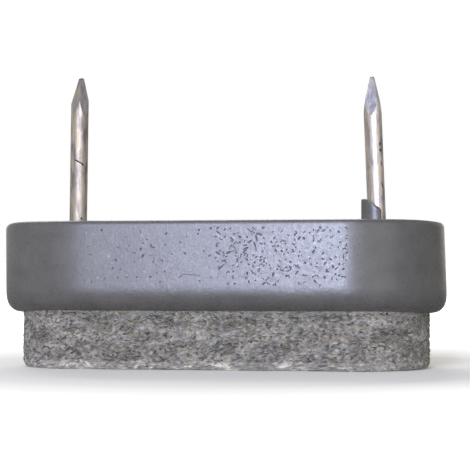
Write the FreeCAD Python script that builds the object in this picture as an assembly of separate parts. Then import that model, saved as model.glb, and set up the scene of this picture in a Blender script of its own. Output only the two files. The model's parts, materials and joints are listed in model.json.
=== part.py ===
import FreeCAD
import Part
import math
import os

# Nail-on furniture glide: a moulded base, a felt pad bonded into its underside and two wire nails.
# The nails are pushed up through the base before the pad covers their heads.
# The origin is under the middle of the pad, where the glide stands.
# +X runs along the glide and +Z up the nails. Lengths are in millimetres and angles in degrees.

# Moulded base, measured at its lower edge before that edge is rounded
BASE_LENGTH = 40.0
BASE_WIDTH = 15.0
BASE_HEIGHT = 7.9
WALL_DRAFT = 1.0
TOP_EDGE_RADIUS = 0.7

# Rim round the felt pocket, with its outer corner well rounded
RIM_WIDTH = 1.6
RIM_RADIUS = 1.7
POCKET_DEPTH = 1.6

# Felt pad
PAD_PROUD = 5.1
PAD_EDGE_RADIUS = 0.6
PAD_CLEARANCE = 0.05

# Wire nails
NAIL_DIAMETER = 1.6
HEAD_DIAMETER = 4.0
HEAD_THICKNESS = 0.7
HEAD_CHAMFER = 0.15
POINT_LENGTH = 3.5
TIP_WIDTH = 0.3

# Rolled grooves that grip the base
GROOVE_WIDTH = 0.6
GROOVE_DEPTH = 0.18
GROOVE_PITCH = 1.2
GROOVE_COUNT = 3

# How each nail stands: how far in from its end of the base, height of its tip over the seat, lean along X
# How its point was cut: turn of the facets round the shank, and how far the tip is off centre along X
LEFT_INSET = 6.5
LEFT_STAND = 13.2
LEFT_LEAN = 0.9
LEFT_TURN = 10.0
LEFT_TIP_SHIFT = 0.12
RIGHT_INSET = 6.2
RIGHT_STAND = 12.8
RIGHT_LEAN = -2.1
RIGHT_TURN = 37.0
RIGHT_TIP_SHIFT = 0.08

# Nail seats in the base, with a shallow ring where the mould held each shank
NAIL_CLEARANCE = 0.02
HEAD_CLEARANCE = 0.15
HEAD_RECESS = 0.2
RING_RADIUS = 1.4
RING_DEPTH = 0.4

# Sliver of moulding flash on the rim of the right nail's ring, from its tall left end round to the front
FLASH_THICKNESS = 0.4
FLASH_HEIGHT = 1.8
FLASH_START = -130.0
FLASH_SWEEP = 57.0
FLASH_TOP_WIDTH = 0.5
FLASH_SLOPE = 35.0

# Worked out from the sizes above
UNDERSIDE_Z = PAD_PROUD
SEAT_Z = UNDERSIDE_Z + BASE_HEIGHT
POCKET_FLOOR_Z = UNDERSIDE_Z + POCKET_DEPTH
POCKET_LENGTH = BASE_LENGTH - 2 * RIM_WIDTH
POCKET_WIDTH = BASE_WIDTH - 2 * RIM_WIDTH
LEFT_X = LEFT_INSET - BASE_LENGTH / 2
RIGHT_X = BASE_LENGTH / 2 - RIGHT_INSET
NAIL_RADIUS = NAIL_DIAMETER / 2
GRIP_LENGTH = SEAT_Z - POCKET_FLOOR_Z - HEAD_RECESS - HEAD_THICKNESS

OVERRUN = 1.0
FLAT = 1e-6
UP = FreeCAD.Vector(0, 0, 1)


def point(x, y, z):
    return FreeCAD.Vector(x, y, z)


def stadium(length, width, z):
    """Closed outline with straight sides and half-round ends, at height z."""
    radius = width / 2
    straight = length / 2 - radius
    sides = [
        Part.LineSegment(point(-straight, -radius, z), point(straight, -radius, z)),
        Part.Arc(point(straight, -radius, z), point(straight + radius, 0, z), point(straight, radius, z)),
        Part.LineSegment(point(straight, radius, z), point(-straight, radius, z)),
        Part.Arc(point(-straight, radius, z), point(-straight - radius, 0, z), point(-straight, -radius, z)),
    ]
    return Part.Wire([side.toShape() for side in sides])


def stadium_prism(length, width, z, height):
    """Straight-walled block on the stadium outline."""
    return Part.Face(stadium(length, width, z)).extrude(UP * height)


def edges_at(solid, z):
    """The edges that lie flat at height z."""
    return [e for e in solid.Edges if abs(e.BoundBox.ZMin - z) < FLAT and abs(e.BoundBox.ZMax - z) < FLAT]


def drafted_block():
    """The base's outside: walls that lean in towards the seat face, with both outer edges rounded."""
    lean_in = 2 * BASE_HEIGHT * math.tan(math.radians(WALL_DRAFT))
    lower = stadium(BASE_LENGTH, BASE_WIDTH, UNDERSIDE_Z)
    upper = stadium(BASE_LENGTH - lean_in, BASE_WIDTH - lean_in, SEAT_Z)
    block = Part.makeLoft([lower, upper], True, True)
    block = block.makeFillet(TOP_EDGE_RADIUS, edges_at(block, SEAT_Z))
    return block.makeFillet(RIM_RADIUS, edges_at(block, UNDERSIDE_Z))


def nail_placement(x, lean):
    """Where a nail's own frame sits: its origin on the seat face, its axis leaning along X."""
    return FreeCAD.Placement(point(x, 0, SEAT_Z), FreeCAD.Rotation(point(0, 1, 0), lean))


def nail_seat():
    """What a nail takes out of the base, in the nail's own frame: a close hole, a head seat and a ring."""
    bearing_z = -GRIP_LENGTH
    hole = Part.makeCylinder(NAIL_RADIUS + NAIL_CLEARANCE, GRIP_LENGTH, point(0, 0, bearing_z))
    head_radius = HEAD_DIAMETER / 2 + HEAD_CLEARANCE
    head_depth = HEAD_THICKNESS + HEAD_RECESS + OVERRUN
    head = Part.makeCylinder(head_radius, head_depth, point(0, 0, bearing_z - head_depth))
    ring_height = RING_DEPTH + FLASH_HEIGHT + OVERRUN
    ring = Part.makeCylinder(RING_RADIUS, ring_height, point(0, 0, -RING_DEPTH))
    return hole.fuse([head, ring])


def flash_wedge():
    """Sector that the ring cuts down to a thin curved sliver: level at its left end, then sloping away."""
    radius = RING_RADIUS + FLASH_THICKNESS
    foot_z = SEAT_Z - RING_DEPTH
    top_z = SEAT_Z + FLASH_HEIGHT
    wedge = Part.makeCylinder(radius, top_z - foot_z, point(0, 0, foot_z), UP, FLASH_SWEEP)
    wedge.rotate(point(0, 0, 0), UP, FLASH_START)
    slope_x = radius * math.cos(math.radians(FLASH_START)) + FLASH_TOP_WIDTH
    above = Part.makeBox(4 * radius, 4 * radius, 4 * radius, point(0, -2 * radius, 0))
    above.rotate(point(0, 0, 0), point(0, 1, 0), FLASH_SLOPE)
    above.translate(point(slope_x, 0, top_z))
    wedge = wedge.cut(above)
    wedge.translate(point(RIGHT_X, 0, 0))
    return wedge


def moulded_base():
    """Grey base with the felt pocket below and the two nail seats above."""
    pocket_z = UNDERSIDE_Z - OVERRUN
    pocket = stadium_prism(POCKET_LENGTH, POCKET_WIDTH, pocket_z, POCKET_FLOOR_Z - pocket_z)
    base = drafted_block().cut(pocket).fuse(flash_wedge())
    for x, lean in ((LEFT_X, LEFT_LEAN), (RIGHT_X, RIGHT_LEAN)):
        seat = nail_seat()
        seat.Placement = nail_placement(x, lean)
        base = base.cut(seat)
    return base.removeSplitter()


def felt_pad():
    """Felt block that fills the pocket and stands proud below it, with its floor edge worn round."""
    length = POCKET_LENGTH - 2 * PAD_CLEARANCE
    width = POCKET_WIDTH - 2 * PAD_CLEARANCE
    pad = stadium_prism(length, width, 0, POCKET_FLOOR_Z)
    return pad.makeFillet(PAD_EDGE_RADIUS, edges_at(pad, 0))


def square_corners(side, x, z, turn):
    """Corners of a level square centred at x and turned round Z."""
    half_diagonal = side / math.sqrt(2)
    angles = [math.radians(turn + 90 * corner) for corner in range(4)]
    return [point(x + half_diagonal * math.cos(a), half_diagonal * math.sin(a), z) for a in angles]


def diamond_point(stand, turn, tip_shift):
    """Four flat facets that close in from the shank to a blunt tip."""
    start_z = stand - POINT_LENGTH
    wide = square_corners(NAIL_DIAMETER, 0, start_z, turn)
    narrow = square_corners(TIP_WIDTH, tip_shift, stand, turn)
    outlines = [wide, narrow]
    for i in range(4):
        outlines.append([wide[i - 1], wide[i], narrow[i], narrow[i - 1]])
    facets = [Part.Face(Part.makePolygon(outline + outline[:1])) for outline in outlines]
    taper = Part.makeSolid(Part.makeShell(facets))
    return taper.common(Part.makeCylinder(NAIL_RADIUS, POINT_LENGTH, point(0, 0, start_z)))


def grip_groove(top_z):
    """Ring with a V section, cut into the shank below top_z."""
    section = Part.makePolygon([
        point(NAIL_RADIUS, 0, top_z),
        point(NAIL_RADIUS - GROOVE_DEPTH, 0, top_z - GROOVE_WIDTH / 2),
        point(NAIL_RADIUS, 0, top_z - GROOVE_WIDTH),
        point(NAIL_RADIUS + OVERRUN, 0, top_z - GROOVE_WIDTH),
        point(NAIL_RADIUS + OVERRUN, 0, top_z),
        point(NAIL_RADIUS, 0, top_z),
    ])
    return Part.Face(section).revolve(point(0, 0, 0), UP, 360)


def wire_nail(x, stand, lean, turn, tip_shift):
    """Flat-headed wire nail with grip grooves inside the base and a diamond point."""
    bearing_z = -GRIP_LENGTH
    shank = Part.makeCylinder(NAIL_RADIUS, GRIP_LENGTH + stand - POINT_LENGTH, point(0, 0, bearing_z))
    head = Part.makeCylinder(HEAD_DIAMETER / 2, HEAD_THICKNESS, point(0, 0, bearing_z - HEAD_THICKNESS))
    head = head.makeChamfer(HEAD_CHAMFER, edges_at(head, bearing_z - HEAD_THICKNESS))
    nail = shank.fuse([head, diamond_point(stand, turn, tip_shift)]).removeSplitter()
    for count in range(GROOVE_COUNT):
        nail = nail.cut(grip_groove(-RING_DEPTH - count * GROOVE_PITCH))
    nail.Placement = nail_placement(x, lean)
    return nail


def main():
    os.makedirs("parts", exist_ok=True)
    pieces = {
        "moulded_base": moulded_base(),
        "felt_pad": felt_pad(),
        "left_nail": wire_nail(LEFT_X, LEFT_STAND, LEFT_LEAN, LEFT_TURN, LEFT_TIP_SHIFT),
        "right_nail": wire_nail(RIGHT_X, RIGHT_STAND, RIGHT_LEAN, RIGHT_TURN, RIGHT_TIP_SHIFT),
    }
    for name, piece in pieces.items():
        piece.exportStep(f"parts/{name}.step")


main()
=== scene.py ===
import json
import math
import random

import bmesh
import bpy
from mathutils import Matrix, Vector


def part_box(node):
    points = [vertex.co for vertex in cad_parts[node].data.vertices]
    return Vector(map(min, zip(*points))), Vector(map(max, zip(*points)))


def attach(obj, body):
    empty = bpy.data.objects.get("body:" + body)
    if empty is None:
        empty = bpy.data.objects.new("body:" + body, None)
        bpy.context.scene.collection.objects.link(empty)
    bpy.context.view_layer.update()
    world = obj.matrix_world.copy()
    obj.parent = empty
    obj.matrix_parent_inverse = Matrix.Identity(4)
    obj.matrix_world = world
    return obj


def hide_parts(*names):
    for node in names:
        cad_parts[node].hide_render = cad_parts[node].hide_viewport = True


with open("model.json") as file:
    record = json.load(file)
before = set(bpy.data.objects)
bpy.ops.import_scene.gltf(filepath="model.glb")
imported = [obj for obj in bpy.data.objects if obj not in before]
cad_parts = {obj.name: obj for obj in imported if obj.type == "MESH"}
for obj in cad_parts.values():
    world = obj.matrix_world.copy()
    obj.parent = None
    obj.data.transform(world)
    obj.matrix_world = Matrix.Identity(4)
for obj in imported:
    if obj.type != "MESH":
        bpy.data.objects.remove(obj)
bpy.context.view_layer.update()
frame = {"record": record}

# A two-nail felt glide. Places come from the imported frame, and shapes and finishes from the values below.
# Pieces are modelled in millimetres and scaled to metres when finished.
# Camera, lamps and finishes are in metres.
MM = 0.001

# What the frame gives
BASE_LOW, BASE_HIGH = [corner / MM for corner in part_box("moulded_base")]
PAD_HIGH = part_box("felt_pad")[1] / MM
MOUNTS = {mount["name"]: mount for mount in frame["record"]["mounts"]}
SEAT_Z = MOUNTS["seat_face"]["pos_m"][2] / MM
UNDERSIDE_Z = BASE_LOW.z
POCKET_FLOOR_Z = PAD_HIGH.z

# Moulded base. Its lower rim is a little squarer than a plain round.
WALL_DRAFT = math.radians(1.0)
TOP_EDGE_RADIUS = 0.4
RIM_RADIUS = 2.4
RIM_SHAPE = 0.61
POCKET_GAP = 0.05
# Its flat sides run gently into its round ends: length that this takes from each side, and rounds of smoothing
END_RUN_IN = 1.0
SMOOTHING = 24
ROUND_STEPS = 128
SIDE_STEPS = 68
# It has warped a little: the seat face lies to the left, and the ends droop, more below than above
TOP_SHIFT = -0.16
DROOP_FROM = 8.0
LOW_DROOP = 0.6
TOP_DROOP = 0.3

# Nails and their seats
NAIL_RADIUS = 0.8
HEAD_RADIUS = 2.0
HEAD_THICKNESS = 0.7
HEAD_ROUNDING = 0.15
HEAD_RECESS = 0.2
HEAD_GAP = 0.15
SHANK_GAP = 0.02
POINT_LENGTH = 3.5
TIP_WIDTH = 0.3
TIP_ROUNDING = 0.13
GROOVE_DEPTH = 0.18
GROOVE_WIDTH = 0.6
GROOVE_PITCH = 1.2
GROOVE_COUNT = 3
RING_RADIUS = 1.4
RING_DEPTH = 0.4
GRIP_LENGTH = SEAT_Z - POCKET_FLOOR_Z - HEAD_RECESS - HEAD_THICKNESS
# Tip height over the seat, turn of the facets in degrees, tip off centre along X, depth of the dull tip
NAILS = {
    "left_nail": (13.2, 10.0, 0.12, 0.16),
    "right_nail": (12.8, 37.0, 0.08, 0),
}
# Scratches and pits in a shank: height over the seat, turn from the eye, tilt, half length, half width
SCORES = {
    "left_nail": [(5.5, 4, 27, 0.66, 0.06), (5.25, 30, 20, 0.16, 0.09), (0.35, 26, 0, 0.12, 0.10)],
    "right_nail": [
        (6.75, 36, -40, 0.16, 0.13), (6.2, 38, 30, 0.15, 0.12), (5.0, 42, 80, 0.22, 0.07),
        (3.1, 43, 72, 0.30, 0.07),
    ],
}

# Sliver of flash at the foot of the right nail
FLASH_RADIUS = 1.9
FLASH_HEIGHT = 1.9
FLASH_FROM = math.radians(-133)
FLASH_TO = math.radians(-73)
FLASH_TOP_WIDTH = 0.5
FLASH_SLOPE = math.radians(35)

# Nicks and pale specks in the front: half sizes of one mark, mean tilt and its spread in degrees, share of hooks
PIP_DEPTH = (0.05, 0.09)
PIP_WIDTH = (0.05, 0.1)
PIP_SHORTEST = 0.05
PIP_USUAL = 0.1
PIP_TILT = (42, 28)
HOOKED = 0.1
# Their patches: left end, right end, lowest, highest, how many, longest half length
NICK_SEED = 7
NICK_PATCHES = [
    (0.1, 12.0, 7.8, 12.3, 56, 0.27),
    (1.5, 12.0, 7.4, 12.2, 68, 0.27),
    (0.4, 5.0, 8.8, 12.3, 26, 0.30),
    (1.0, 3.8, 9.4, 11.9, 18, 0.28),
    (-8.4, -3.2, 8.0, 12.3, 18, 0.19),
    (-11.0, 0.6, 7.6, 12.3, 28, 0.16),
    (6.6, 12.0, 7.6, 12.3, 24, 0.27),
    (3.6, 6.6, 7.5, 12.3, 24, 0.27),
]
SPECK_PATCHES = [(-11.0, -2.0, 7.8, 12.1, 22, 0.10), (0.6, 11.0, 7.8, 12.1, 14, 0.10)]
# Longer scratches in the front: along, height, tilt, half length, half width
SCRATCHES = [
    (4.2, 11.4, 75, 0.34, 0.08), (4.45, 11.75, 20, 0.30, 0.08), (4.05, 10.9, 62, 0.26, 0.08),
    (1.2, 9.0, -48, 0.34, 0.07), (0.9, 11.9, 40, 0.30, 0.07), (7.7, 9.0, 30, 0.34, 0.07),
    (-5.0, 10.85, 72, 0.16, 0.07), (-4.8, 10.65, 12, 0.20, 0.07),
    (-1.55, 8.3, 4, 0.80, 0.035), (-0.82, 8.2, 84, 0.14, 0.035), (-2.3, 8.2, 86, 0.12, 0.035),
]

# Felt: its mesh size, the height over which its relief fades out under the base, the height of its pile
FELT_EDGE_RADIUS = 0.6
FELT_GRAIN = 0.14
FELT_FADE = 0.25
PILE_HEIGHT = 0.2
FELT_SEED = 3
# Size of the bumps along X, Y and Z, detail and strength
FELT_RELIEF = {
    "layers": ((0.33, 0.33, 0.24), 2, 0.36),
    "swell": ((3.0, 3.0, 1.2), 1, 0.22),
}
# All the fibres, of which the first are a pale fringe at the floor and the last are dark specks on the long sides
FIBRE_COUNT = 6200
FRINGE_COUNT = 1200
SPECK_COUNT = 1100
SPECK_SIDE = 0.55

# Viewpoint
EYE_AZIMUTH = math.radians(10.39)
EYE_DISTANCE = 148.3 * MM
EYE_HEIGHT = 9.74 * MM
AIM_RIGHT = math.radians(0.396)
AIM_UP = math.radians(0.795)
EYE_ROLL = math.radians(-0.12)
LENS = 126.3

# Softboxes: azimuth in degrees, distance, height of the foot, width, height, radiance, colour
LAMPS = {
    "key softbox": (-9.3, 620 * MM, 0, 188 * MM, 150 * MM, 7.2, (0.62, 0.66, 1.0)),
    "upper softbox": (-5.5, 620 * MM, 150 * MM, 170 * MM, 850 * MM, 9.0, (0.72, 0.75, 1.0)),
    "inner softbox": (-4.0, 600 * MM, 0, 70 * MM, 150 * MM, 47.0, (0.66, 0.72, 1.0)),
    "back softbox": (-158.0, 560 * MM, 400 * MM, 500 * MM, 450 * MM, 5.5, (0.92, 0.95, 1.0)),
}
# Room brightness at eye level: turn from behind, left about, to behind again, as a share of a full turn
ROOM = [
    (0.00, 1.40), (0.06, 1.10), (0.12, 0.60), (0.36, 0.60), (0.42, 1.30), (0.50, 1.80),
    (0.58, 2.20), (0.63, 1.90), (0.67, 0.25), (0.88, 0.32), (0.95, 1.00), (1.00, 1.40),
]
ROOM_TINT = (1.0, 0.965, 0.92)
# Room above, and how high the eye-level band fades into it, as sines of the height
DOME = (0.36, 0.355, 0.37)
BAND_TOP = (0.10, 0.34)

# How near a plane counts as on it, in millimetres
ON_PLANE = 1e-5
LEVEL = 1e-4


def choose(obj):
    """Makes obj the only selected object."""
    bpy.ops.object.select_all(action="DESELECT")
    obj.select_set(True)
    bpy.context.view_layer.objects.active = obj


def edit(obj, kind):
    choose(obj)
    bpy.ops.object.mode_set(mode="EDIT")
    bpy.ops.mesh.select_mode(type=kind)


def done():
    bpy.ops.object.mode_set(mode="OBJECT")


def pick(obj, kind, test):
    """Selects the vertices, edges or faces of obj that pass the test, in edit mode."""
    bpy.ops.mesh.select_all(action="DESELECT")
    mesh = bmesh.from_edit_mesh(obj.data)
    for item in getattr(mesh, kind):
        if test(item):
            item.select_set(True)
    mesh.select_flush_mode()
    bmesh.update_edit_mesh(obj.data)


def flat_at(z):
    """Test for an edge that lies level at height z."""
    return lambda edge: all(abs(v.co.z - z) < LEVEL for v in edge.verts)


def apply_modifier(obj, kind, **settings):
    choose(obj)
    bpy.ops.object.modifier_add(type=kind)
    modifier = obj.modifiers[-1]
    for key, value in settings.items():
        setattr(modifier, key, value)
    bpy.ops.object.modifier_apply(modifier=modifier.name)


def combine(obj, tool, operation, **settings):
    """Cuts tool from obj, or joins the two, and removes the tool."""
    apply_modifier(
        obj, "BOOLEAN", object=tool, operation=operation, solver="EXACT", material_mode="TRANSFER", **settings
    )
    bpy.data.objects.remove(tool, do_unlink=True)


def cut_all(obj, tools):
    """Cuts many small tools from obj at once, each as a solid of its own, and removes them."""
    group = bpy.data.collections.new("tools")
    bpy.context.scene.collection.children.link(group)
    for tool in tools:
        group.objects.link(tool)
    apply_modifier(
        obj,
        "BOOLEAN",
        operand_type="COLLECTION",
        collection=group,
        operation="DIFFERENCE",
        solver="EXACT",
        material_mode="TRANSFER",
    )
    for tool in tools:
        bpy.data.objects.remove(tool, do_unlink=True)
    bpy.data.collections.remove(group)


def settle(obj):
    """Puts the object's place and turn into its mesh."""
    choose(obj)
    bpy.ops.object.transform_apply(location=True, rotation=True, scale=True)


def to_metres(obj):
    obj.scale = (MM, MM, MM)
    settle(obj)


def finish_piece(obj, node, angle):
    """Smooths obj up to an angle and along one finish, scales it and puts it in the place of a node."""
    choose(obj)
    bpy.ops.object.shade_smooth_by_angle(angle=math.radians(angle))
    edit(obj, "EDGE")
    pick(obj, "edges", lambda e: len({face.material_index for face in e.link_faces}) > 1)
    bpy.ops.mesh.mark_sharp()
    done()
    apply_modifier(obj, "WEIGHTED_NORMAL", keep_sharp=True, weight=80)
    to_metres(obj)
    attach(obj, "root")
    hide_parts(node)


def stadium_block(name, radius, straight, low, high):
    """Upright block with straight sides and half-round ends."""
    bpy.ops.mesh.primitive_cylinder_add(
        vertices=ROUND_STEPS,
        radius=radius,
        depth=high - low,
        location=(0, 0, (low + high) / 2),
        rotation=(0, 0, math.pi / ROUND_STEPS),
    )
    block = bpy.context.object
    block.name = name
    settle(block)
    edit(block, "VERT")
    for side in (-1, 1):
        pick(block, "verts", lambda v: v.co.x * side > 0)
        bpy.ops.transform.translate(value=(side * straight, 0, 0))
    done()
    return block


def soft_stadium_block(name, radius, straight, half_length, low, high):
    """The same block, but its sides run into its ends gently: the outline is smoothed, then raised."""
    bpy.ops.mesh.primitive_circle_add(
        vertices=ROUND_STEPS, radius=radius, location=(0, 0, low), rotation=(0, 0, math.pi / ROUND_STEPS)
    )
    block = bpy.context.object
    block.name = name
    settle(block)
    edit(block, "VERT")
    for side in (-1, 1):
        pick(block, "verts", lambda v: v.co.x * side > 0)
        bpy.ops.transform.translate(value=(side * straight, 0, 0))
    bpy.ops.mesh.select_mode(type="EDGE")
    pick(block, "edges", lambda e: e.calc_length() > straight)
    bpy.ops.mesh.subdivide(number_cuts=SIDE_STEPS - 1)
    bpy.ops.mesh.select_all(action="SELECT")
    bpy.ops.mesh.vertices_smooth(factor=0.5, repeat=SMOOTHING)
    mesh = bmesh.from_edit_mesh(block.data)
    stretch_x = half_length / max(v.co.x for v in mesh.verts)
    stretch_y = radius / max(v.co.y for v in mesh.verts)
    bpy.ops.transform.resize(value=(stretch_x, stretch_y, 1), center_override=(0, 0, low))
    bpy.ops.mesh.edge_face_add()
    bpy.ops.mesh.extrude_region_move(TRANSFORM_OT_translate={"value": (0, 0, high - low)})
    bpy.ops.mesh.select_all(action="SELECT")
    bpy.ops.mesh.normals_make_consistent(inside=False)
    done()
    return block


def nail_axis(name):
    return Vector(MOUNTS[name]["axis"]), Vector(MOUNTS[name]["pos_m"]) / MM


def nail_rod(name, radius, low, high, steps=64):
    """Round rod along a nail's axis, from low to high over the seat."""
    axis, foot = nail_axis(name)
    bpy.ops.mesh.primitive_cylinder_add(
        vertices=steps,
        radius=radius,
        depth=high - low,
        location=foot + axis * (low + high) / 2,
        rotation=(0, math.atan2(axis.x, axis.z), 0),
    )
    rod = bpy.context.object
    settle(rod)
    return rod


def cut_away(plane_point, outward):
    """Bisects the edited mesh and closes it, without what lies outside the plane."""
    bpy.ops.mesh.select_all(action="SELECT")
    bpy.ops.mesh.bisect(
        plane_co=plane_point, plane_no=outward, use_fill=True, clear_outer=True, threshold=ON_PLANE
    )


def flash_sliver():
    """Thin curved sliver of flash: a sector, cut to its slope and thinned by the ring round the nail."""
    _, foot = nail_axis("right_nail")
    bpy.ops.mesh.primitive_cylinder_add(
        vertices=144,
        radius=FLASH_RADIUS,
        depth=FLASH_HEIGHT + RING_DEPTH + 0.4,
        location=foot + Vector((0, 0, (FLASH_HEIGHT - RING_DEPTH - 0.4) / 2)),
    )
    flash = bpy.context.object
    settle(flash)
    edit(flash, "VERT")
    cut_away(foot, (math.sin(FLASH_FROM), -math.cos(FLASH_FROM), 0))
    cut_away(foot, (-math.sin(FLASH_TO), math.cos(FLASH_TO), 0))
    slope_x = foot.x + FLASH_RADIUS * math.cos(FLASH_FROM) + FLASH_TOP_WIDTH
    slope_top = Vector((slope_x, 0, SEAT_Z + FLASH_HEIGHT))
    cut_away(slope_top, (math.sin(FLASH_SLOPE), 0, math.cos(FLASH_SLOPE)))
    done()
    combine(flash, nail_rod("right_nail", RING_RADIUS, -4, 4), "DIFFERENCE")
    edit(flash, "FACE")
    bpy.ops.mesh.select_all(action="SELECT")
    bpy.ops.mesh.normals_make_consistent(inside=False)
    done()
    apply_modifier(flash, "REMESH", mode="VOXEL", voxel_size=0.04)
    apply_modifier(flash, "SMOOTH", factor=0.5, iterations=50)
    return flash


def front_pips(base, patches, seed, hooked, materials, chosen=()):
    """Small pips on the front face, each a copy of one pip, stretched and turned. Some meet in a hook."""
    rng = random.Random(seed)
    bpy.ops.mesh.primitive_ico_sphere_add(subdivisions=2, radius=1)
    pip = bpy.context.object
    pip.data.materials.append(materials[0])
    made = []
    taken = []

    def add_pip(x, z, turn, long, thin):
        choose(pip)
        bpy.ops.object.duplicate()
        copy = bpy.context.object
        _, wall, _, _ = base.ray_cast((x, BASE_LOW.y - 5, z), (0, 1, 0))
        copy.data.materials[0] = rng.choice(materials)
        copy.scale = (long, rng.uniform(*PIP_DEPTH), thin)
        copy.rotation_euler = (0, turn, 0)
        copy.location = (x, wall.y - 0.01, z)
        made.append(copy)

    for x, z, tilt, long, thin in chosen:
        add_pip(x, z, math.radians(tilt), long, thin)
    for left, right, low, high, count, longest in patches:
        for _ in range(count):
            tries = [(rng.uniform(left, right), rng.uniform(low, high)) for _ in range(2)]
            x, z = max(tries, key=lambda spot: min([math.dist(spot, other) for other in taken], default=0))
            taken.append((x, z))
            long = rng.triangular(PIP_SHORTEST, longest, PIP_USUAL)
            thin = min(long, rng.uniform(*PIP_WIDTH))
            turn = math.radians(rng.choice((-1, -1, 1)) * rng.gauss(*PIP_TILT))
            add_pip(x, z, turn, long, thin)
            if rng.random() < hooked:
                bend = turn + math.radians(rng.uniform(50, 110))
                end = 0.8 * long
                x += end * math.cos(turn) + 0.6 * end * math.cos(bend)
                z -= end * math.sin(turn) + 0.6 * end * math.sin(bend)
                add_pip(x, z, bend, 0.7 * long, thin)
    bpy.data.objects.remove(pip, do_unlink=True)
    return made


def droop_ends(base):
    """Lowers the ends. The flat faces are first cut across, so that they can follow."""
    edit(base, "FACE")
    for x in range(9, 20):
        for side in (-1, 1):
            pick(base, "faces", lambda f: abs(f.normal.z) > 0.999)
            bpy.ops.mesh.bisect(plane_co=(side * x, 0, 0), plane_no=(1, 0, 0), threshold=ON_PLANE)
    done()
    ends = base.vertex_groups.new(name="ends")
    for vertex in base.data.vertices:
        run = max(0, abs(vertex.co.x) - DROOP_FROM) / (BASE_HIGH.x - DROOP_FROM)
        level = min(1, max(0, (vertex.co.z - UNDERSIDE_Z) / (SEAT_Z - UNDERSIDE_Z)))
        above = level * TOP_DROOP / LOW_DROOP * run ** 9
        below = (1 - level) * run ** 5
        ends.add([vertex.index], min(1, above + below), "REPLACE")
    apply_modifier(base, "DISPLACE", direction="Z", vertex_group="ends", mid_level=0, strength=-LOW_DROOP)


def moulded_base(plastic, scuffed, faint, pale):
    """Base with leaning walls, rounded edges, felt pocket, nail seats, flash and nicks."""
    lower_radius = BASE_HIGH.y + 0.6 * RIM_RADIUS * math.tan(WALL_DRAFT)
    straight = BASE_HIGH.x - BASE_HIGH.y
    lean_in = (SEAT_Z - UNDERSIDE_Z) * math.tan(WALL_DRAFT)
    base = soft_stadium_block(
        "glide_base", lower_radius, straight - END_RUN_IN, straight + lower_radius, UNDERSIDE_Z, SEAT_Z
    )
    for material in (plastic, scuffed, faint, pale):
        base.data.materials.append(material)
    edit(base, "VERT")
    shrink = 1 - lean_in / lower_radius
    for side in (-1, 1):
        pick(base, "verts", lambda v: v.co.x * side > 0 and abs(v.co.z - SEAT_Z) < LEVEL)
        bpy.ops.transform.resize(value=(shrink, shrink, 1), center_override=(side * straight, 0, SEAT_Z))
    pick(base, "verts", lambda v: abs(v.co.z - SEAT_Z) < LEVEL)
    bpy.ops.transform.translate(value=(TOP_SHIFT, 0, 0))
    bpy.ops.mesh.select_mode(type="EDGE")
    pick(base, "edges", flat_at(UNDERSIDE_Z))
    bpy.ops.mesh.bevel(offset=RIM_RADIUS, segments=16, profile=RIM_SHAPE, affect="EDGES")
    pick(base, "edges", flat_at(SEAT_Z))
    bpy.ops.mesh.bevel(offset=TOP_EDGE_RADIUS, segments=8, affect="EDGES")
    done()
    droop_ends(base)
    pocket_radius = PAD_HIGH.y + POCKET_GAP
    pocket = stadium_block("pocket", pocket_radius, straight, UNDERSIDE_Z - 1, POCKET_FLOOR_Z)
    combine(base, pocket, "DIFFERENCE")
    for name in NAILS:
        combine(base, nail_rod(name, NAIL_RADIUS + SHANK_GAP, -GRIP_LENGTH - 1, 1), "DIFFERENCE")
        combine(base, nail_rod(name, HEAD_RADIUS + HEAD_GAP, -GRIP_LENGTH - 2, -GRIP_LENGTH), "DIFFERENCE")
        combine(base, nail_rod(name, RING_RADIUS, -RING_DEPTH, 3), "DIFFERENCE")
    combine(base, flash_sliver(), "UNION")
    specks = front_pips(base, SPECK_PATCHES, NICK_SEED + 1, 0, [pale])
    nicks = front_pips(base, NICK_PATCHES, NICK_SEED, HOOKED, [scuffed, scuffed, faint], SCRATCHES)
    cut_all(base, specks + nicks)
    finish_piece(base, "moulded_base", 32)


def score(nail, tarnish, height, turn, tilt, long, thin):
    """Cuts one scratch or pit into an upright shank."""
    facing = EYE_AZIMUTH + math.radians(turn)
    bpy.ops.mesh.primitive_ico_sphere_add(
        subdivisions=3,
        radius=1,
        location=look_from(facing, NAIL_RADIUS, height),
        rotation=(0, math.radians(tilt), facing),
        scale=(long, 0.05 + 0.3 * long, thin),
    )
    mark = bpy.context.object
    mark.data.materials.append(tarnish)
    settle(mark)
    combine(nail, mark, "DIFFERENCE")


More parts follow.
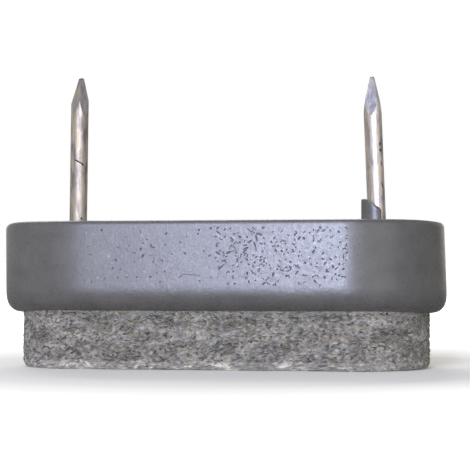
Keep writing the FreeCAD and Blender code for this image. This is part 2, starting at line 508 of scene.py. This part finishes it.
def wire_nail(name, zinc, cut_zinc, tarnish):
    """Nail from a round rod: head pulled out below, grooves pinched in, point cut with four flat facets."""
    stand, turn, tip_shift, dull = NAILS[name]
    axis, foot = nail_axis(name)
    length = GRIP_LENGTH + stand
    bpy.ops.mesh.primitive_cylinder_add(
        vertices=64, radius=NAIL_RADIUS, depth=length, location=(0, 0, stand - length / 2)
    )
    nail = bpy.context.object
    nail.name = name + "_wire"
    for material in (zinc, cut_zinc, tarnish):
        nail.data.materials.append(material)
    settle(nail)
    edit(nail, "FACE")
    pick(nail, "faces", lambda f: f.normal.z < -0.9)
    bpy.ops.mesh.extrude_region_move(TRANSFORM_OT_translate={"value": (0, 0, 0)})
    flare = HEAD_RADIUS / NAIL_RADIUS
    bpy.ops.transform.resize(value=(flare, flare, 1), center_override=(0, 0, -GRIP_LENGTH))
    bpy.ops.mesh.extrude_region_move(TRANSFORM_OT_translate={"value": (0, 0, -HEAD_THICKNESS)})
    bpy.ops.mesh.select_mode(type="EDGE")
    pick(nail, "edges", flat_at(-GRIP_LENGTH - HEAD_THICKNESS))
    bpy.ops.mesh.bevel(offset=HEAD_ROUNDING, segments=3, affect="EDGES")
    for count in range(GROOVE_COUNT):
        top = -RING_DEPTH - count * GROOVE_PITCH
        for z in (top, top - GROOVE_WIDTH / 2, top - GROOVE_WIDTH):
            bpy.ops.mesh.select_all(action="SELECT")
            bpy.ops.mesh.bisect(plane_co=(0, 0, z), plane_no=(0, 0, 1), threshold=ON_PLANE)
        pick(nail, "edges", flat_at(top - GROOVE_WIDTH / 2))
        pinch = 1 - GROOVE_DEPTH / NAIL_RADIUS
        bpy.ops.transform.resize(value=(pinch, pinch, 1), center_override=(0, 0, top - GROOVE_WIDTH / 2))
    for corner in range(4):
        bearing = math.radians(turn + 45 + 90 * corner)
        out = Vector((math.cos(bearing), math.sin(bearing), 0))
        low = out * NAIL_RADIUS + Vector((0, 0, stand - POINT_LENGTH))
        high = out * (TIP_WIDTH / 2) + Vector((tip_shift, 0, stand))
        along = Vector((-out.y, out.x, 0))
        normal = along.cross(high - low)
        if normal.dot(out) < 0:
            normal = -normal
        cut_away(low, normal.normalized())
    bpy.ops.mesh.select_mode(type="EDGE")
    pick(nail, "edges", lambda e: all(v.co.z > stand - TIP_WIDTH for v in e.verts))
    bpy.ops.mesh.bevel(offset=TIP_ROUNDING, segments=5, affect="EDGES", clamp_overlap=True)
    bpy.ops.mesh.select_mode(type="FACE")
    pick(nail, "faces", lambda f: f.normal.z > 0.05 and f.calc_center_median().z > 0)
    nail.active_material_index = 1
    bpy.ops.object.material_slot_assign()
    pick(nail, "faces", lambda f: f.calc_center_median().z > stand - dull)
    nail.active_material_index = 2
    bpy.ops.object.material_slot_assign()
    done()
    for mark in SCORES[name]:
        score(nail, tarnish, *mark)
    nail.rotation_euler = (0, math.atan2(axis.x, axis.z), 0)
    nail.location = foot
    settle(nail)
    finish_piece(nail, name, 24)


def noise_texture(name, depth):
    texture = bpy.data.textures.new(name, "CLOUDS")
    texture.noise_scale = 1
    texture.noise_depth = depth
    texture.noise_basis = "ORIGINAL_PERLIN"
    return texture


def stretch_marker(place, size):
    """Empty whose own axes stretch a texture."""
    bpy.ops.object.empty_add(location=place)
    marker = bpy.context.object
    marker.scale = size
    bpy.context.view_layer.update()
    return marker


def felt_pad(wool):
    """Felt block, remeshed fine and roughened with ridges that lie along its layers."""
    straight = PAD_HIGH.x - PAD_HIGH.y
    pad = stadium_block("felt_block", PAD_HIGH.y, straight, 0, POCKET_FLOOR_Z)
    edit(pad, "EDGE")
    pick(pad, "edges", flat_at(0))
    bpy.ops.mesh.bevel(offset=FELT_EDGE_RADIUS, segments=6, affect="EDGES")
    done()
    apply_modifier(pad, "REMESH", mode="VOXEL", voxel_size=FELT_GRAIN)
    loose = pad.vertex_groups.new(name="loose")
    for vertex in pad.data.vertices:
        below = (UNDERSIDE_Z - 0.05 - vertex.co.z) / FELT_FADE
        loose.add([vertex.index], min(1, max(0, below)), "REPLACE")
    smooth = [vertex.co.copy() for vertex in pad.data.vertices]
    normals = [vertex.normal.copy() for vertex in pad.data.vertices]
    for name, (size, depth, strength) in FELT_RELIEF.items():
        marker = stretch_marker((FELT_SEED, 0, 0), size)
        apply_modifier(
            pad,
            "DISPLACE",
            texture=noise_texture(name, depth),
            texture_coords="OBJECT",
            texture_coords_object=marker,
            vertex_group="loose",
            mid_level=0.55,
            strength=strength,
        )
        bpy.data.objects.remove(marker, do_unlink=True)
    height = pad.data.attributes.new("pile_height", "FLOAT", "POINT")
    for vertex, before, normal in zip(pad.data.vertices, smooth, normals):
        height.data[vertex.index].value = (vertex.co - before).dot(normal) / PILE_HEIGHT
    edit(pad, "VERT")
    pick(pad, "verts", lambda v: v.co.z < 0)
    bpy.ops.transform.resize(value=(1, 1, 0), center_override=(0, 0, 0))
    done()
    pad.data.materials.append(wool)
    choose(pad)
    bpy.ops.object.shade_smooth()
    to_metres(pad)
    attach(pad, "root")
    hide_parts("felt_pad")


def wall_place(along, z):
    """Point on the felt's wall, that far round it and at height z, and the way out from there."""
    radius = PAD_HIGH.y
    straight = PAD_HIGH.x - PAD_HIGH.y
    side = 2 * straight
    arc = math.pi * radius
    along %= 2 * (side + arc)
    half, along = divmod(along, side + arc)
    if along < side:
        centre = -straight + along
        bearing = -math.pi / 2
    else:
        centre = straight
        bearing = -math.pi / 2 + (along - side) / radius
    flip = -1 if half else 1
    out = Vector((math.cos(bearing), math.sin(bearing), 0)) * flip
    low = max(0, FELT_EDGE_RADIUS - z)
    inset = FELT_EDGE_RADIUS - math.sqrt(FELT_EDGE_RADIUS ** 2 - low ** 2)
    return Vector((centre * flip, 0, z)) + out * (radius - inset), out


def felt_fibres(hair):
    """Short wool fibres along the felt's wall: one thin strand, copied, bent and laid nearly level."""
    rng = random.Random(FELT_SEED)
    bpy.ops.mesh.primitive_cylinder_add(vertices=3, radius=1, depth=1, rotation=(0, math.pi / 2, 0))
    strand = bpy.context.object
    settle(strand)
    edit(strand, "VERT")
    for x in (-0.25, 0, 0.25):
        bpy.ops.mesh.select_all(action="SELECT")
        bpy.ops.mesh.bisect(plane_co=(x, 0, 0), plane_no=(1, 0, 0), threshold=ON_PLANE)
    done()
    pattern = [vertex.co.copy() for vertex in strand.data.vertices]
    faces = [list(face.vertices) for face in strand.data.polygons]
    bpy.data.objects.remove(strand, do_unlink=True)
    places = []
    rings = []
    tones = []
    round_trip = 4 * (PAD_HIGH.x - PAD_HIGH.y) + 2 * math.pi * PAD_HIGH.y
    for count in range(FIBRE_COUNT):
        fringe = count < FRINGE_COUNT
        speck = count >= FIBRE_COUNT - SPECK_COUNT
        along = rng.uniform(0, round_trip)
        length = rng.uniform(0.12, 0.34) if speck else rng.triangular(0.25, 1.3, 0.5)
        thick = rng.uniform(0.05, 0.085) if speck else rng.uniform(0.022, 0.05)
        low, high = (0.05, 0.65) if fringe else (0.8 if speck else 0.2, UNDERSIDE_Z - 0.05)
        z = rng.uniform(low, high)
        slope = math.radians(rng.gauss(0, 9 if fringe else 30))
        bow = rng.gauss(0, 0.12) * length
        lift = rng.uniform(0.0, 0.09)
        darkest, palest = (0.86, 1.0) if fringe else (0.04, 0.2) if speck else (0.1, 1)
        tone = rng.uniform(darkest, palest)
        if speck and abs(wall_place(along, z)[1].x) > SPECK_SIDE:
            continue
        start = len(places)
        for co in pattern:
            reach = co.x * length
            taper = thick * (1.2 - 1.6 * abs(co.x))
            height = z + reach * math.sin(slope) + bow * (co.x ** 2 - 0.08) + co.z * taper
            height = min(max(height, 0.03), UNDERSIDE_Z - 0.01)
            spot, out = wall_place(along + reach * math.cos(slope), height)
            places.append(spot + out * (lift * (1 - 2 * abs(co.x)) + co.y * taper))
            tones.append(tone)
        rings.extend([start + index for index in face] for face in faces)
    mesh = bpy.data.meshes.new("felt_fibres")
    mesh.from_pydata(places, [], rings)
    shade = mesh.attributes.new("fibre_tone", "FLOAT", "POINT")
    shade.data.foreach_set("value", tones)
    mesh.materials.append(hair)
    fibres = bpy.data.objects.new("felt_fibres", mesh)
    bpy.context.collection.objects.link(fibres)
    edit(fibres, "FACE")
    bpy.ops.mesh.select_all(action="SELECT")
    bpy.ops.mesh.normals_make_consistent(inside=False)
    done()
    choose(fibres)
    bpy.ops.object.shade_smooth()
    to_metres(fibres)
    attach(fibres, "root")


def start_material(name):
    material = bpy.data.materials.new(name)
    material.use_nodes = True
    return material, material.node_tree, material.node_tree.nodes["Principled BSDF"]


def add_node(tree, kind, values=None, **settings):
    node = tree.nodes.new(kind)
    for key, value in settings.items():
        setattr(node, key, value)
    for key, value in (values or {}).items():
        node.inputs[key].default_value = value
    return node


def grain(tree, size, detail=3.0, shift=(0, 0, 0), roughness=0.5):
    """Noise whose grains are about size millimetres along X, Y and Z."""
    place = add_node(tree, "ShaderNodeTexCoord")
    scale = [1000 / s for s in size]
    mapping = add_node(tree, "ShaderNodeMapping", {"Location": shift, "Scale": scale})
    texture = add_node(tree, "ShaderNodeTexNoise", {"Scale": 1.0, "Detail": detail, "Roughness": roughness})
    tree.links.new(place.outputs["Object"], mapping.inputs["Vector"])
    tree.links.new(mapping.outputs["Vector"], texture.inputs["Vector"])
    return texture.outputs["Fac"]


def ramp(tree, source, stops):
    """Colours along a value, as (position, colour) stops."""
    node = add_node(tree, "ShaderNodeValToRGB")
    band = node.color_ramp
    while len(band.elements) < len(stops):
        band.elements.new(0.5)
    for element, (position, colour) in zip(band.elements, stops):
        element.position = position
        element.color = (*colour, 1)
    tree.links.new(source, node.inputs["Fac"])
    return node.outputs["Color"]


def spread(tree, source, low, high, from_low=0.3, from_high=0.7):
    """Stretches a value to run from low to high."""
    limits = {"From Min": from_low, "From Max": from_high, "To Min": low, "To Max": high}
    node = add_node(tree, "ShaderNodeMapRange", limits)
    tree.links.new(source, node.inputs["Value"])
    return node.outputs["Result"]


def blend(tree, share, first, second, kind="MIX"):
    """Mixes two colours, by a number or by a value in the tree."""
    node = add_node(tree, "ShaderNodeMix", data_type="RGBA", blend_type=kind)
    if isinstance(share, (int, float)):
        node.inputs[0].default_value = share
    else:
        tree.links.new(share, node.inputs[0])
    for socket, value in ((node.inputs[6], first), (node.inputs[7], second)):
        if isinstance(value, tuple):
            socket.default_value = (*value, 1)
        else:
            tree.links.new(value, socket)
    return node.outputs[2]


def relief(tree, source, depth, strength, normal=None):
    node = add_node(tree, "ShaderNodeBump", {"Strength": strength, "Distance": depth})
    tree.links.new(source, node.inputs["Height"])
    if normal:
        tree.links.new(normal, node.inputs["Normal"])
    return node.outputs["Normal"]


def plastic_material(name, dark, light, rough_low, rough_high):
    """Satin grey moulding, a little uneven in tone and gloss."""
    material, tree, shader = start_material(name)
    tone = grain(tree, (2.2, 2.2, 1.6), 5)
    speck = grain(tree, (0.16, 0.16, 0.16), 2, (3, 1, 2))
    broad = ramp(tree, tone, [(0.3, dark), (0.7, light)])
    small = ramp(tree, speck, [(0.3, dark), (0.72, light)])
    colour = blend(tree, 0.5, broad, small)
    tree.links.new(colour, shader.inputs["Base Color"])
    gloss = spread(tree, grain(tree, (0.35, 0.35, 0.3), 4, (1, 7, 3)), rough_low, rough_high)
    tree.links.new(gloss, shader.inputs["Roughness"])
    fine = relief(tree, speck, 0.012 * MM, 0.6)
    skin = relief(tree, grain(tree, (0.9, 0.9, 0.7), 2, (5, 2, 8)), 0.02 * MM, 0.5, fine)
    tree.links.new(skin, shader.inputs["Normal"])
    shader.inputs["Specular IOR Level"].default_value = 0.5
    return material


def zinc_material(name, rough_low, rough_high, tone, dent, bias=0):
    """Zinc-plated drawn wire: bright metal with long draw marks, dull patches and a tan tarnish.

    The bias leans the surface to the left, so that its shine lies nearer the middle of the wire.
    """
    material, tree, shader = start_material(name)
    patches = grain(tree, (0.5, 0.5, 1.3), 4)
    draw = grain(tree, (0.14, 0.14, 2.4), 3, (2, 5, 1))
    metal = ramp(tree, patches, [
        (0.34, (0.50, 0.46, 0.44)), (0.5, (0.74, 0.71, 0.68)), (0.66, (0.80, 0.72, 0.58)),
    ])
    marks = ramp(tree, draw, [(0.32, (0.62, 0.60, 0.60)), (0.6, (1.0, 1.0, 1.0))])
    colour = blend(tree, 0.8, metal, marks, "MULTIPLY")
    tree.links.new(blend(tree, 1.0, colour, tone, "MULTIPLY"), shader.inputs["Base Color"])
    shader.inputs["Metallic"].default_value = 1
    gloss = spread(tree, grain(tree, (0.4, 0.4, 0.8), 3, (9, 1, 4)), rough_low, rough_high)
    tree.links.new(gloss, shader.inputs["Roughness"])
    surface = add_node(tree, "ShaderNodeNewGeometry")
    aside = add_node(tree, "ShaderNodeVectorMath", {1: (-bias, 0, 0)}, operation="ADD")
    unit = add_node(tree, "ShaderNodeVectorMath", operation="NORMALIZE")
    tree.links.new(surface.outputs["Normal"], aside.inputs[0])
    tree.links.new(aside.outputs[0], unit.inputs[0])
    lines = relief(tree, draw, 0.02 * MM, 0.6 * dent, unit.outputs[0])
    dents = relief(tree, grain(tree, (0.7, 0.7, 0.9), 2, (4, 4, 4)), 0.05 * MM, dent, lines)
    tree.links.new(dents, shader.inputs["Normal"])
    return material


def felt_material():
    """Mottled grey wool: light and dark fibres in streaks along the layers, with painted shade in the hollows and
    painted light on the raised pile.
    """
    material, tree, shader = start_material("grey_wool")
    streak = grain(tree, (0.30, 0.30, 0.19), 4, (0, 0, 0), 0.55)
    tone = ramp(tree, streak, [
        (0.30, (0.122, 0.116, 0.096)),
        (0.42, (0.210, 0.200, 0.165)),
        (0.56, (0.29, 0.275, 0.227)),
        (0.70, (0.415, 0.393, 0.327)),
    ])
    tint = ramp(tree, grain(tree, (1.1, 1.1, 0.5), 2, (6, 3, 9)), [
        (0.36, (0.93, 0.95, 1.03)), (0.5, (1.0, 1.0, 1.0)), (0.64, (1.04, 0.99, 0.90)),
    ])
    colour = blend(tree, 0.9, tone, tint, "MULTIPLY")
    place = add_node(tree, "ShaderNodeTexCoord")
    parts = add_node(tree, "ShaderNodeSeparateXYZ")
    tree.links.new(place.outputs["Object"], parts.inputs[0])
    edge = spread(tree, parts.outputs["Z"], 1, 0, 0.40 * MM, 0.85 * MM)
    pale_edge = ramp(tree, streak, [(0.3, (0.47, 0.447, 0.372)), (0.7, (0.70, 0.665, 0.554))])
    colour = blend(tree, edge, colour, pale_edge)
    # Painted shade and light: the pile height darkens the colour in the hollows and lightens it on the raised
    # pile.
    pile = add_node(tree, "ShaderNodeAttribute", attribute_name="pile_height")
    painted_hollow_shade = ramp(tree, spread(tree, pile.outputs["Fac"], 0, 1, -0.7, 0.6), [
        (0.0, (0.35, 0.34, 0.34)), (0.5, (0.95, 0.95, 0.95)), (1.0, (1.3, 1.29, 1.27)),
    ])
    tree.links.new(blend(tree, 1.0, colour, painted_hollow_shade, "MULTIPLY"), shader.inputs["Base Color"])
    shader.inputs["Roughness"].default_value = 0.95
    shader.inputs["Specular IOR Level"].default_value = 0.15
    shader.inputs["Sheen Weight"].default_value = 0.25
    fuzz = relief(tree, grain(tree, (0.3, 0.3, 0.09), 3, (2, 8, 5)), 0.08 * MM, 0.6)
    tree.links.new(fuzz, shader.inputs["Normal"])
    return material


def fibre_material():
    """Single wool fibres, each of one tone from charcoal through grey and fawn to off-white."""
    material, tree, shader = start_material("wool_fibre")
    tone = add_node(tree, "ShaderNodeAttribute", attribute_name="fibre_tone")
    colour = ramp(tree, tone.outputs["Fac"], [
        (0.0, (0.108, 0.102, 0.086)),
        (0.20, (0.132, 0.124, 0.103)),
        (0.30, (0.217, 0.205, 0.170)),
        (0.50, (0.280, 0.266, 0.225)),
        (0.60, (0.336, 0.290, 0.205)),
        (0.72, (0.357, 0.338, 0.280)),
        (1.0, (0.470, 0.446, 0.373)),
    ])
    wear = ramp(tree, grain(tree, (0.4, 0.4, 0.2), 2, (1, 2, 3)), [
        (0.3, (0.7, 0.7, 0.7)), (0.7, (1.1, 1.1, 1.1)),
    ])
    tree.links.new(blend(tree, 0.8, colour, wear, "MULTIPLY"), shader.inputs["Base Color"])
    shader.inputs["Roughness"].default_value = 0.75
    shader.inputs["Specular IOR Level"].default_value = 0.2
    return material


def look_from(azimuth, distance, height):
    """Point that far from the object's axis; azimuth 0 is in front and grows to the right."""
    return Vector((math.sin(azimuth) * distance, -math.cos(azimuth) * distance, height))


def add_camera():
    """Eye level between the seat face and the felt, a little to the right of square on."""
    data = bpy.data.cameras.new("camera")
    data.lens = LENS
    data.sensor_width = 36
    data.clip_start = 5 * MM
    data.clip_end = 100
    camera = bpy.data.objects.new("camera", data)
    camera.location = look_from(EYE_AZIMUTH, EYE_DISTANCE, EYE_HEIGHT)
    turn = Matrix.Rotation(EYE_AZIMUTH - AIM_RIGHT, 4, "Z")
    tilt = Matrix.Rotation(math.radians(90) + AIM_UP, 4, "X")
    roll = Matrix.Rotation(EYE_ROLL, 4, "Z")
    camera.rotation_euler = (turn @ tilt @ roll).to_euler()
    bpy.context.collection.objects.link(camera)
    bpy.context.scene.camera = camera


def add_lamp(name, azimuth, distance, foot, width, height, radiance, colour):
    """Upright softbox that faces the object."""
    data = bpy.data.lights.new(name, "AREA")
    data.shape = "RECTANGLE"
    data.size = width
    data.size_y = height
    data.energy = radiance * math.pi * width * height
    data.color = colour
    lamp = bpy.data.objects.new(name, data)
    lamp.location = look_from(math.radians(azimuth), distance, foot + height / 2)
    lamp.rotation_euler = (math.radians(90), 0, math.radians(azimuth))
    bpy.context.collection.objects.link(lamp)


def set_world():
    """Room that is bright in front and behind, grey on the left and dark on the right, and white to the eye."""
    world = bpy.data.worlds.new("studio")
    world.use_nodes = True
    bpy.context.scene.world = world
    tree = world.node_tree
    tree.nodes.clear()
    out = add_node(tree, "ShaderNodeOutputWorld")
    mix = add_node(tree, "ShaderNodeMixShader")
    path = add_node(tree, "ShaderNodeLightPath")
    white = add_node(tree, "ShaderNodeBackground", {"Color": (1, 1, 1, 1), "Strength": 1.0})
    room = add_node(tree, "ShaderNodeBackground", {"Strength": 1.0})
    place = add_node(tree, "ShaderNodeTexCoord")
    parts = add_node(tree, "ShaderNodeSeparateXYZ")
    back = add_node(tree, "ShaderNodeMath", {1: -1.0}, operation="MULTIPLY")
    angle = add_node(tree, "ShaderNodeMath", operation="ARCTAN2")
    share = add_node(tree, "ShaderNodeMapRange", {"From Min": -math.pi, "From Max": math.pi})
    tree.links.new(place.outputs["Generated"], parts.inputs[0])
    tree.links.new(parts.outputs["Y"], back.inputs[0])
    tree.links.new(parts.outputs["X"], angle.inputs[0])
    tree.links.new(back.outputs[0], angle.inputs[1])
    tree.links.new(angle.outputs[0], share.inputs["Value"])
    stops = [(turn, tuple(level * tint for tint in ROOM_TINT)) for turn, level in ROOM]
    colour = ramp(tree, share.outputs["Result"], stops)
    lift = spread(tree, parts.outputs["Z"], 0, 1, *BAND_TOP)
    tree.links.new(blend(tree, lift, colour, DOME), room.inputs["Color"])
    tree.links.new(path.outputs["Is Camera Ray"], mix.inputs["Fac"])
    tree.links.new(room.outputs[0], mix.inputs[1])
    tree.links.new(white.outputs[0], mix.inputs[2])
    tree.links.new(mix.outputs[0], out.inputs[0])


def add_floor():
    """Pale floor that the eye sees white far off, with painted shade round the object where its glow is weak, and
    that is dark in reflections, as a painted reflection.
    """
    bpy.ops.mesh.primitive_plane_add(size=6, location=(0, 0, 0))
    floor = bpy.context.object
    floor.name = "floor"
    material, tree, shader = start_material("pale_floor")
    shader.inputs["Roughness"].default_value = 0.3
    shader.inputs["Emission Color"].default_value = (1, 1, 1, 1)
    path = add_node(tree, "ShaderNodeLightPath")
    # Painted reflection: to reflections the floor is dark grey, so the base's lower rim shows a dark reflection.
    tone = blend(tree, path.outputs["Is Glossy Ray"], (0.90, 0.88, 0.79), (0.13, 0.13, 0.13))
    sheen = spread(tree, path.outputs["Is Camera Ray"], 0.5, 0.0, 0, 1)
    tree.links.new(sheen, shader.inputs["Specular IOR Level"])
    tree.links.new(tone, shader.inputs["Base Color"])
    place = add_node(tree, "ShaderNodeTexCoord")
    away = add_node(tree, "ShaderNodeVectorMath", operation="LENGTH")
    tree.links.new(place.outputs["Object"], away.inputs[0])
    # Painted shade: the floor's glow to the eye is weak near the object and full farther off, so a grey shade
    # lies round the object besides its real shadow.
    lift = spread(tree, away.outputs["Value"], 0.06, 0.9, 24 * MM, 62 * MM)
    glow_with_painted_shade = add_node(tree, "ShaderNodeMath", operation="MULTIPLY")
    tree.links.new(path.outputs["Is Camera Ray"], glow_with_painted_shade.inputs[0])
    tree.links.new(lift, glow_with_painted_shade.inputs[1])
    tree.links.new(glow_with_painted_shade.outputs[0], shader.inputs["Emission Strength"])
    floor.data.materials.append(material)


plastic = plastic_material("grey_plastic", (0.074, 0.071, 0.063), (0.120, 0.115, 0.102), 0.25, 0.34)
scuffed = plastic_material("scuffed_plastic", (0.07, 0.072, 0.08), (0.125, 0.127, 0.138), 0.44, 0.6)
faint = plastic_material("faint_scuff", (0.13, 0.132, 0.145), (0.2, 0.202, 0.215), 0.4, 0.52)
pale = plastic_material("pale_scuff", (0.32, 0.32, 0.34), (0.5, 0.5, 0.52), 0.4, 0.5)
# The two nails have one plating; the right nail's copy is brightened past white, as a painted brighter and wider
# shine.
left_zinc = zinc_material("zinc_plate_left", 0.56, 0.74, (0.93, 0.885, 0.78), 0.6, 0.12)
right_zinc_painted_shine = zinc_material("zinc_plate_right", 0.46, 0.62, (1.18, 1.15, 1.08), 0.6, 0.20)
# The cut facets of both nails are one steel; the right nail's copy is darkened to about half, as painted shade on
# its facets.
left_cut = zinc_material("zinc_cut_left", 0.28, 0.40, (1.05, 1.05, 1.07), 0.3)
right_cut_painted_shade = zinc_material("zinc_cut_right", 0.26, 0.34, (0.47, 0.485, 0.51), 0.12)
tarnish = zinc_material("zinc_tarnish", 0.5, 0.7, (0.34, 0.32, 0.27), 0.3)

moulded_base(plastic, scuffed, faint, pale)
wire_nail("left_nail", left_zinc, left_cut, tarnish)
wire_nail("right_nail", right_zinc_painted_shine, right_cut_painted_shade, tarnish)
felt_pad(felt_material())
felt_fibres(fibre_material())

add_camera()
for lamp_name, lamp_values in LAMPS.items():
    add_lamp(lamp_name, *lamp_values)
set_world()
add_floor()
bpy.context.scene.view_settings.view_transform = "Standard"
